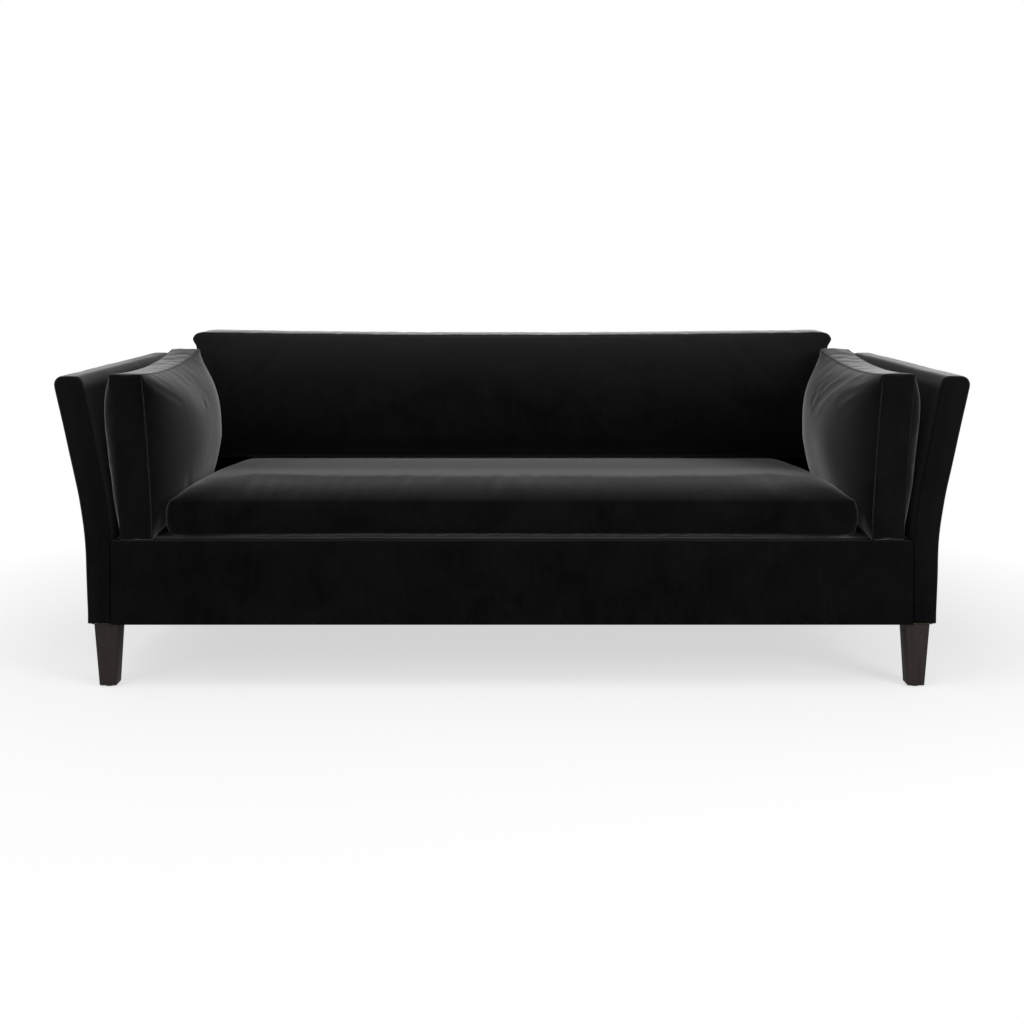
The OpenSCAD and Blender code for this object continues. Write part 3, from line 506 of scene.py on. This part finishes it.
def armCover(side, word):
    length = cadBox[1][1] - frontY
    piece = straightWall(f"arm_cover_{word}_velvet", length)
    roundEnd(piece, 0, -1)
    roundEnd(piece, length, 1)
    cutAt(2, wall["foot"] + wall["hem"])
    cutSlices(2, wall["foot"], wall["top"], wall["levelStep"])
    cutSlices(1, 0, length, wall["stationStep"])
    endEdit()
    radius = wall["outerEdge"]

    def bend(point):
        left = max(0, radius - (length - point.y))  # the top's rear edge is round too
        drop = radius - math.sqrt(max(0, radius * radius - left * left))
        z = point.z - drop * min(1, max(0, (point.z - wall["top"] + 2 * radius) / (2 * radius)))
        across = innerX(z) + point.x / wall["topThick"] * thickness(z)
        rear = rearFoot + flare(z)
        return Vector((side * across, frontY + point.y / length * (rear - frontY), z))

    moveVertices(piece, bend)
    startEdit(piece)
    # below the seat the inner face is left out, because the seat box is there
    innerSkin = innerX(wall["foot"]) + wall["tuckEdge"]
    pick(piece, "FACE", lambda f: all(v.co.z < wall["tuck"] and abs(v.co.x) < innerSkin
                                      and v.co.y > frontY + 2 * wall["endEdge"] for v in f.verts))
    bpy.ops.mesh.delete(type="FACE")
    finishWall(piece)
    finishPiece(piece, "frame", "velvet", f"arm_cover_{word}")


def backCover():
    length = 2 * innerX(wall["top"])
    piece = straightWall("back_cover_velvet", length)
    cutAt(2, wall["foot"] + wall["hem"])
    cutSlices(2, wall["foot"], wall["top"], wall["levelStep"])
    cutSlices(1, 0, length, wall["stationStep"])
    endEdit()

    def bend(point):
        front = rearFoot + flare(point.z) - thickness(point.z)
        reach = innerX(point.z) + wall["endLap"]
        return Vector((reach * (2 * point.y / length - 1),
                       front + point.x / wall["topThick"] * thickness(point.z), point.z))

    moveVertices(piece, bend)
    startEdit(piece)
    # the front face ends under the seat, and the ends are left open against the arms
    frontSkin = rearFoot - wall["frontSkin"] * wall["footThick"]
    pick(piece, "FACE", lambda f: all(v.co.z < wall["tuck"] and v.co.y < frontSkin for v in f.verts)
         or abs(f.normal.x) > 0.8)
    bpy.ops.mesh.delete(type="FACE")
    finishWall(piece)
    finishPiece(piece, "frame", "velvet", "back_cover")


railCover = {"edge": 0.008, "thick": 0.008, "step": 0.02, "hem": 0.002, "smoothAngle": 40}


def frontRailCover():
    low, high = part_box("front_rail_cover")
    piece = addPrimitive("front_rail_velvet", bpy.ops.mesh.primitive_cube_add, size=1,
                         location=(low + high) / 2, scale=high - low)
    startEdit(piece)
    pick(piece, "EDGE", lambda e: all(near(v.co.z, high.z) and near(v.co.y, low.y) for v in e.verts))
    bpy.ops.mesh.bevel(offset=railCover["edge"], segments=6, profile=0.5)
    pick(piece, "FACE", lambda f: f.normal.y > 0.9 or f.normal.z < -0.9 or abs(f.normal.x) > 0.9)
    bpy.ops.mesh.delete(type="FACE")
    cutSlices(0, low.x, high.x, railCover["step"])
    cutSlices(2, low.z, high.z, railCover["step"])
    endEdit()
    makeUneven(piece, low.z + railCover["hem"])
    thicken(piece, railCover["thick"])
    bpy.ops.object.shade_smooth_by_angle(angle=math.radians(railCover["smoothAngle"]))
    finishPiece(piece, "frame", "velvet", "front_rail_cover")


for side, word in ((-1, "left"), (1, "right")):
    armCover(side, word)
    print("arm cover done", word)
backCover()
frontRailCover()
print("upholstery done")


leg = {"edge": 0.0028, "smoothAngle": 35}


def taperedLeg(node):
    # a block as wide as the solid's top, its foot drawn in to the solid's foot
    low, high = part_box(node)
    middle = (low + high) / 2
    foot = [v.co for v in cadNodes[node].data.vertices if near(v.co.z, low.z)]
    footX = min(c.x for c in foot), max(c.x for c in foot)
    footY = min(c.y for c in foot), max(c.y for c in foot)
    piece = addPrimitive(node + "_wood", bpy.ops.mesh.primitive_cube_add, size=1,
                         location=middle, scale=high - low)
    for vertex in piece.data.vertices:
        if vertex.co.z < middle.z:
            vertex.co.x = footX[vertex.co.x > middle.x]
            vertex.co.y = footY[vertex.co.y > middle.y]
    startEdit(piece)
    pick(piece, "EDGE", lambda e: isUpright(e) or all(v.co.z < middle.z for v in e.verts))
    bpy.ops.mesh.bevel(offset=leg["edge"], segments=3, profile=0.5)
    endEdit()
    bpy.ops.object.shade_smooth_by_angle(angle=math.radians(leg["smoothAngle"]))
    finishPiece(piece, "frame", "leg_wood", node)


for node in ("leg_front_left", "leg_front_right", "leg_rear_left", "leg_rear_right"):
    taperedLeg(node)
print("legs done")


# how every cushion is filled and sewn: sizes in metres
filling = {
    "slack": 0.004, "slackReach": 0.05,  # how slim the case starts, and how far from its seams
    "pressure": 3.5, "frames": 20, "loosen": -0.003, "mass": 0.35, "stiffness": 22, "bending": 1.5,
    "seamRadius": 0.0012, "seamStep": 0.008, "seamRise": 0.0004, "onSeam": 0.0015,
    "boxingSwell": 0.003, "seamFall": 0.004, "swellPower": 0.8,
    "pucker": 0.0015, "puckerLength": 0.045, "puckerReach": 0.03,
    "puckerPeak": 2.7,  # brings the peak of a pucker to its full height
    "softness": 0.0018, "softSize": 0.15, "foldRim": 0.35, "foldEnd": 0.15,
    "cornerSegments": 6, "cornerSpots": 12, "weld": 0.0002,
}


def mix(a, b, t):
    return a + (b - a) * t


def clamped(value):
    return max(0, min(1, value))


# in the next functions d and h are shares of a cushion's depth and height, 0 at the front and the foot
def innerShare(d, h, style):  # the inner face is slimmer at the foot, beside the seat, and at the front
    slimmer = style["nearShare"] * (1 - clamped(d / style["fullest"])) ** 2
    return (1 - style["footShare"] * max(0, 1 - 2 * h)) * (1 - slimmer)


def armPlace(p, style):  # p is the distance to the rear and up from the cushion's middle, and outwards
    hu, hv = style["half"]
    half = style["levels"][1]
    d = (p.x + hu) / (2 * hu)
    h = (p.y + hv) / (2 * hv)
    w = p.z
    if w < -half:
        w = -half + (w + half) * innerShare(d, h, style)
    elif w > half:
        w = half + (w - half) * mix(1, style["outerRear"], d) * mix(style["outerLow"], 1, h)
    high = max(0, 2 * h - 1)
    lift = style["lift"] * max(0, d) ** 3 * high
    x = style["x"] + w + 2 * hv * h * math.tan(math.radians(style["lean"])) - style["toe"] * d * d * high
    return Vector((style["side"] * x, frontY + style["front"] + 2 * hu * d, style["z"] + 2 * hv * h + lift))


def seatPlace(p, style):  # p is the distance to the right and to the rear, and the height
    hu, hv = style["half"]
    d = (p.y + hv) / (2 * hv)
    low, high = style["levels"]
    z = p.z
    if z > high:
        z = high + (z - high) * (1 - style["fall"] * d * d)
    middle = 2 * (p.z - low) / (high - low) - 1
    swell = style["endSwell"] * max(0, 1 - middle * middle) * (1 - clamped(d))
    return Vector((p.x * (mix(1, style["rearShare"], d) + swell / hu),
                   frontY + style["front"] + p.y + hv - swell, z))


def backPlace(p, style):  # p is the distance to the right and up, and to the front
    hu, hv = style["half"]
    h = (p.y + hv) / (2 * hv)
    front = clamped(p.z / style["levels"][1])
    narrow = 1 - style["narrow"] / hu * front * (1 - clamped(h) ** 2)
    seamY = mix(style["seamY"][0], style["seamY"][1], h)
    sag = style["sag"] * (1 - h) * (1 - (p.x / hu) ** 2)
    ear = style["ear"]  # each top corner ends in a small round knob over a slight neck
    corner = clamped((abs(p.x) / hu - ear["from"]) / (1 - ear["from"])) ** 2
    knob = math.exp(-((h - ear["knobAt"]) / ear["size"]) ** 2)
    neck = math.exp(-((h - ear["neckAt"]) / ear["size"]) ** 2)
    side = math.copysign((ear["knob"] * knob - ear["neck"] * neck) * corner, p.x)
    drop = ear["drop"] * corner * clamped((h - ear["neckAt"]) / (1 - ear["neckAt"]))
    return Vector((p.x * narrow + side, seamY - p.z * mix(*style["thick"], h),
                   style["z"] + 2 * hv * h - sag - drop))


def cornerWay(u, v, style):  # how deep inside the rounded outline a point lies, and which way is out
    hu, hv = style["half"]
    radius = style["corner"]
    q = Vector((abs(u) - hu + radius, abs(v) - hv + radius))
    out = Vector((max(q.x, 0), max(q.y, 0)))
    inside = radius - out.length - min(max(q.x, q.y), 0)
    if out.length < sameSpot:
        out = Vector((1, 0)) if q.x > q.y else Vector((0, 1))
    out = out.normalized()
    return inside, Vector((math.copysign(out.x, u), math.copysign(out.y, v)))


def drawnIn(u, v, style):  # the seams are drawn in a little at the middle of each side
    hu, hv = style["half"]
    pull = style["pull"]
    return u * (1 - pull / hu * (1 - (v / hv) ** 2)), v * (1 - pull / hv * (1 - (u / hu) ** 2))


def padPoint(point, style):  # from the flat block to the cushion's place in the sofa
    hu, hv = style["half"]
    low, high = style["levels"]
    inside, out = cornerWay(point.x, point.y, style)
    fall = 1 - math.exp(-inside / filling["seamFall"]) if inside > filling["onSeam"] else 0
    u, v, w = point
    if near(w, high) or near(w, low):
        edges, swell = style["topSwell"] if near(w, high) else style["lowSwell"]
        full = max(0, (1 - abs(u / hu) ** edges[0]) * (1 - abs(v / hv) ** edges[1])) ** filling["swellPower"]
        w += swell * full * fall
    else:
        middle = 2 * (w - low) / (high - low) - 1
        u += out.x * filling["boxingSwell"] * (1 - middle * middle)
        v += out.y * filling["boxingSwell"] * (1 - middle * middle)
    u, v = drawnIn(u, v, style)
    return style["place"](Vector((u, v, w)), style)


def seamLine(level, style):  # the seam round one face, as evenly spaced points
    hu, hv = style["half"]
    radius = style["corner"]
    count = filling["cornerSpots"]
    spots = []
    for turn, (su, sv) in enumerate(((1, 1), (-1, 1), (-1, -1), (1, -1))):
        for i in range(count + 1):
            angle = math.radians(90 * turn + 90 / count * i)
            spots.append((su * (hu - radius) + radius * math.cos(angle),
                          sv * (hv - radius) + radius * math.sin(angle)))
    line = []
    for (u0, v0), (u1, v1) in zip(spots, spots[1:] + spots[:1]):
        count = max(1, round(math.hypot(u1 - u0, v1 - v0) / filling["seamStep"]))
        for i in range(count):
            u, v = drawnIn(mix(u0, u1, i / count), mix(v0, v1, i / count), style)
            line.append(style["place"](Vector((u, v, level)), style))
    return line


def padBlock(name, style):
    # a block with round corners, cut into an even net of threads
    hu, hv = style["half"]
    low, high = style["levels"]
    piece = addPrimitive(name, bpy.ops.mesh.primitive_cube_add, size=1, location=(0, 0, (low + high) / 2),
                         scale=(2 * hu, 2 * hv, high - low))
    startEdit(piece)
    pick(piece, "EDGE", isUpright)
    bpy.ops.mesh.bevel(offset=style["corner"], segments=filling["cornerSegments"], profile=0.5)
    cutSlices(0, -hu, hu, style["thread"])
    cutSlices(1, -hv, hv, style["thread"])
    cutSlices(2, low, high, style["thread"])
    bpy.ops.mesh.select_all(action="SELECT")
    bpy.ops.mesh.remove_doubles(threshold=filling["weld"])
    bpy.ops.mesh.normals_make_consistent(inside=False)
    endEdit()
    return piece


def surfaceOf(piece):
    mesh = bmesh.new()
    mesh.from_mesh(piece.data)
    tree = BVHTree.FromBMesh(mesh)
    mesh.free()
    return tree


def nearestOf(spots):
    tree = KDTree(len(spots))
    for i, spot in enumerate(spots):
        tree.insert(spot, i)
    tree.balance()
    return tree


def inflate(piece, sewn):
    # the cover is sewn at its seams and blown up from inside, like a stuffed case
    group = piece.vertex_groups.new(name="sewn")
    group.add(sewn, 1, "REPLACE")
    modifier = piece.modifiers.new("stuffing", "CLOTH")
    cloth = modifier.settings
    cloth.quality = 4
    cloth.mass = filling["mass"]
    cloth.tension_stiffness = cloth.compression_stiffness = filling["stiffness"]
    cloth.bending_stiffness = filling["bending"]
    cloth.use_pressure = True
    cloth.uniform_pressure_force = filling["pressure"]
    cloth.shrink_min = filling["loosen"]
    cloth.effector_weights.gravity = 0
    cloth.vertex_group_mass = "sewn"
    modifier.collision_settings.use_collision = False
    modifier.point_cache.frame_start = 1
    modifier.point_cache.frame_end = filling["frames"]
    for step in range(1, filling["frames"] + 1):
        scene.frame_set(step)
    activate(piece)
    bpy.ops.object.modifier_apply(modifier="stuffing")
    scene.frame_set(1)
    piece.vertex_groups.clear()


def sewSeams(piece, loops, name):
    # each seam shows as a fine raised edge that follows the filled surface
    surface = surfaceOf(piece)
    cords = []
    for k, loop in enumerate(loops):
        line = bpy.data.curves.new(f"{name}Seam{k}", "CURVE")
        line.dimensions = "3D"
        line.bevel_depth = filling["seamRadius"]
        line.bevel_resolution = 2
        spline = line.splines.new("POLY")
        spline.points.add(len(loop) - 1)
        spline.use_cyclic_u = True
        for point, spot in zip(spline.points, loop):
            place, normal, _, _ = surface.find_nearest(spot)
            point.co = (*(place + normal * filling["seamRise"]), 1)
        cord = bpy.data.objects.new(f"{name}Seam{k}", line)
        scene.collection.objects.link(cord)
        activate(cord)
        bpy.ops.object.convert(target="MESH")
        cords.append(bpy.context.object)
    bpy.ops.object.select_all(action="DESELECT")
    for cord in cords:
        cord.select_set(True)
    piece.select_set(True)
    bpy.context.view_layer.objects.active = piece
    bpy.ops.object.join()


def creaseDepth(point, crease):  # a soft fold along a short line, deepest in its middle
    start, end, width, depth = crease
    line = end - start
    share = clamped((point - start).dot(line) / line.length_squared)
    away = (point - start - line * share).length / width
    if away >= 2:
        return 0
    if away < 1:
        profile = math.cos(away * math.pi / 2)
    else:  # the velvet pushed aside stands up as a rim
        profile = -filling["foldRim"] * math.sin((away - 1) * math.pi)
    return depth * profile * math.sin(math.pi * mix(filling["foldEnd"], 1 - filling["foldEnd"], share))


def onPad(shares, style):  # a point of the case, given as shares of its block
    hu, hv = style["half"]
    low, high = style["levels"]
    return padPoint(Vector((hu * shares[0], hv * shares[1], mix(low, high, (shares[2] + 1) / 2))), style)


def fillCase(piece, sewn, seams):
    # the case starts a little slim, but not at its seams, and is then blown up
    normals = [v.normal.copy() for v in piece.data.vertices]
    for vertex, normal in zip(piece.data.vertices, normals):
        reach = min(1, seams.find(vertex.co)[2] / filling["slackReach"])
        vertex.co -= normal * filling["slack"] * reach
    piece.data.update()
    inflate(piece, sewn)


def ruffle(piece, sewn, seams, form, style):
    # puckers beside the seams, soft swells and creases, all held close to the cushion's own form
    creases = [(onPad(start, style), onPad(end, style), width, depth)
               for start, end, width, depth in style["creases"]]
    low, high = style["proud"]
    seed = style["seed"]
    kept = set(sewn)
    normals = [v.normal.copy() for v in piece.data.vertices]
    for vertex, normal in zip(piece.data.vertices, normals):
        if vertex.index in kept:
            continue
        point = vertex.co.copy()
        _, found, distance = seams.find(point)
        fade = distance / filling["puckerReach"]
        pucker = noise.noise(Vector((found * filling["seamStep"] / filling["puckerLength"], seed, 0.5)))
        swell = pucker * filling["pucker"] * filling["puckerPeak"] * fade * math.exp(-fade)
        soft = noise.noise(point / filling["softSize"] + Vector((seed, 0, 0)))
        point += normal * (swell + soft * filling["softness"] * min(1, fade))
        for crease in creases:
            point -= normal * creaseDepth(point, crease)
        place, facing, _, _ = form.find_nearest(point)
        off = (point - place).dot(facing)
        vertex.co = point + facing * (min(high, max(low, off)) - off)
    piece.data.update()


def makeCushion(node, style):
    loops = [seamLine(level, style) for level in style["levels"]]
    seams = nearestOf([spot for loop in loops for spot in loop])
    piece = padBlock(node + "_case", style)
    sewn = [v.index for v in piece.data.vertices
            if cornerWay(v.co.x, v.co.y, style)[0] < filling["onSeam"]
            and any(near(v.co.z, level) for level in style["levels"])]
    moveVertices(piece, lambda co: padPoint(co, style))
    if style.get("side") == -1:  # the left cushion is mirrored, so its faces are turned back
        piece.data.flip_normals()
    form = surfaceOf(piece)
    fillCase(piece, sewn, seams)
    ruffle(piece, sewn, seams, form, style)
    soften(piece)
    sewSeams(piece, loops, node)
    activate(piece)
    bpy.ops.object.shade_smooth()
    finishPiece(piece, node + "_body", "velvet", node)
    piece.data.materials[0] = velvets[node.split("_")[0]]  # its own painted sheen and painted light
    print("cushion done", node, len(piece.data.polygons))


# sizes of the cushions, from the solids: half the length and width of the flat block, the levels of its
# two seams, how full each face is after how flat it stays both ways, and how far the filled face may
# leave that form; a crease runs between two points given as shares of the block, each from -1 to 1,
# with its width and depth
armCushion = {
    "place": armPlace, "half": (0.27556, 0.1985), "levels": (-0.0385, 0.0385), "corner": 0.009,
    "pull": 0.010, "lowSwell": ((3.8, 3.6), -0.100), "topSwell": ((16, 3.4), 0.045), "thread": 0.0095,
    "x": 0.896, "z": 0.35485, "front": 0.0035, "lean": 3.9, "lift": 0.027,
    "outerLow": 0.45, "outerRear": 0.7, "footShare": 0.50, "nearShare": 0.12, "fullest": 0.6,
    "proud": (-0.006, 0.002), "fill": 0.75,
}
cushions = {
    "seat_cushion": {
        "place": seatPlace, "half": (0.8265, 0.37456), "levels": (0.371, 0.447), "corner": 0.030,
        "pull": 0.006, "lowSwell": ((40, 26), -0.0175), "topSwell": ((46, 3.4), 0.043), "thread": 0.012,
        "front": 0.005, "rearShare": 0.925, "fall": 0.73, "endSwell": 0.006,
        "proud": (-0.007, 0.001), "fill": 0.8, "seed": 1.7, "creases": []},
    "arm_cushion_left": {**armCushion, "side": -1, "toe": 0.016, "seed": 4.2, "creases": [
        ((-1, 0.50, -0.2), (-1, 0.48, 0.7), 0.006, 0.0018),
        ((-0.62, -0.30, -1), (-0.42, -0.72, -1), 0.018, 0.0018),
        ((-0.92, 0.90, -1), (-0.62, 0.62, -1), 0.010, 0.0025)]},
    "arm_cushion_right": {**armCushion, "side": 1, "toe": 0.027, "seed": 8.6, "creases": [
        ((-0.93, 0.90, -1), (-0.55, 0.66, -1), 0.014, 0.0026),
        ((-0.93, 0.82, -1), (-0.66, 0.46, -1), 0.014, 0.0022),
        ((-0.90, 0.94, -1), (-0.30, 0.86, -1), 0.014, 0.002),
        ((-0.30, 0.90, -1), (-0.02, 0.50, -1), 0.022, 0.0026),
        ((-1, 0.46, -0.7), (-1, 0.53, 0.2), 0.006, 0.0018),
        ((-1, 0.53, 0.1), (-1, 0.47, 0.8), 0.006, 0.0018)]},
    "back_cushion": {
        "place": backPlace, "half": (0.9095, 0.1705), "levels": (0, 0.165), "corner": 0.024,
        "pull": 0.008, "lowSwell": ((10, 2.4), -0.052), "topSwell": ((10, 2.4), 0.072), "thread": 0.0115,
        "narrow": 0.0714, "seamY": (0.28456, 0.30557), "thick": (1.22, 0.78), "z": 0.4796, "sag": 0.010,
        "ear": {"from": 0.96, "knobAt": 0.95, "neckAt": 0.84, "size": 0.045, "knob": 0.005, "neck": 0.006,
                "drop": 0.007},
        "proud": (-0.006, 0.0015), "fill": 0.7, "seed": 2.9, "creases": []},
}
for node, style in cushions.items():
    makeCushion(node, style)


# plain pale floor and soft studio light
studio = {
    "floor": "#f9f9f9", "floorSize": 60, "floorRoughness": 0.9,
    "whiteShare": 0.62, "whiteFrom": 1.2, "whiteTo": 2.0,  # the shadow shows nearer than whiteTo
    "worldLevel": 0.4,
    "overhead": {"place": (-0.7, -1.4, 2.8), "aim": (0.1, 0, 0.3), "size": (3.4, 1.6), "power": 42},
    "left": {"place": (-2.7, -2.9, 1.5), "aim": (0.3, 0, 0.5), "size": (1.6, 1.4), "power": 19},
    "right": {"place": (2.7, -2.9, 1.5), "aim": (-0.3, 0, 0.5), "size": (1.6, 1.4), "power": 68},
}


def paleFloor():
    # matt white sweep: white to the camera, with the sofa's soft shadow on it
    floor = addPrimitive("floor", bpy.ops.mesh.primitive_plane_add, size=studio["floorSize"],
                         location=(0, 0, 0))
    material, shader = newMaterial("mattWhiteSweep", {
        "Base Color": linear(studio["floor"]), "Roughness": studio["floorRoughness"]})
    path = addNode(material, "LightPath")
    glow = addNode(material, "Emission", {"Color": linear("#ffffff"), "Strength": 1})
    away = addNode(material, "VectorMath", {"operation": "LENGTH"},
                   {0: addNode(material, "TexCoord").outputs["Object"]})
    fade = addNode(material, "MapRange", {"From Min": studio["whiteFrom"], "From Max": studio["whiteTo"],
                                          "To Min": studio["whiteShare"]}, {"Value": away.outputs["Value"]})
    share = addNode(material, "Math", {"operation": "MULTIPLY"},
                    {0: path.outputs["Is Camera Ray"], 1: fade.outputs["Result"]})
    both = addNode(material, "MixShader", {}, {0: share.outputs["Value"], 1: shader.outputs["BSDF"],
                                               2: glow.outputs["Emission"]})
    material.node_tree.links.new(both.outputs["Shader"],
                                 material.node_tree.nodes["Material Output"].inputs["Surface"])
    floor.data.materials.append(material)


def studioWorld():
    world = bpy.data.worlds.new("studio")
    world.use_nodes = True
    scene.world = world
    background = world.node_tree.nodes["Background"]
    path = addNode(world, "LightPath")
    seen = addNode(world, "Math", {"operation": "MAXIMUM"}, {0: path.outputs["Is Camera Ray"],
                                                           1: path.outputs["Is Glossy Ray"]})
    seen = addNode(world, "Math", {"operation": "MAXIMUM"}, {0: seen.outputs["Value"],
                                                           1: path.outputs["Is Transmission Ray"]})
    level = addNode(world, "MapRange", {"To Min": studio["worldLevel"], "To Max": 1},
                    {"Value": seen.outputs["Value"]})
    world.node_tree.links.new(level.outputs["Result"], background.inputs["Strength"])
    background.inputs["Color"].default_value = linear("#ffffff")


def softLamp(word):
    settings = studio[word]
    way = Vector(settings["aim"]) - Vector(settings["place"])
    bpy.ops.object.light_add(type="AREA", location=settings["place"],
                             rotation=way.to_track_quat("-Z", "Y").to_euler())
    lamp = bpy.context.object
    lamp.name = word + "Softbox"
    lamp.data.shape = "RECTANGLE"
    lamp.data.size, lamp.data.size_y = settings["size"]
    lamp.data.energy = settings["power"]


paleFloor()
studioWorld()
for word in ("overhead", "left", "right"):
    softLamp(word)
scene.view_settings.view_transform = "Standard"
print("studio ready")
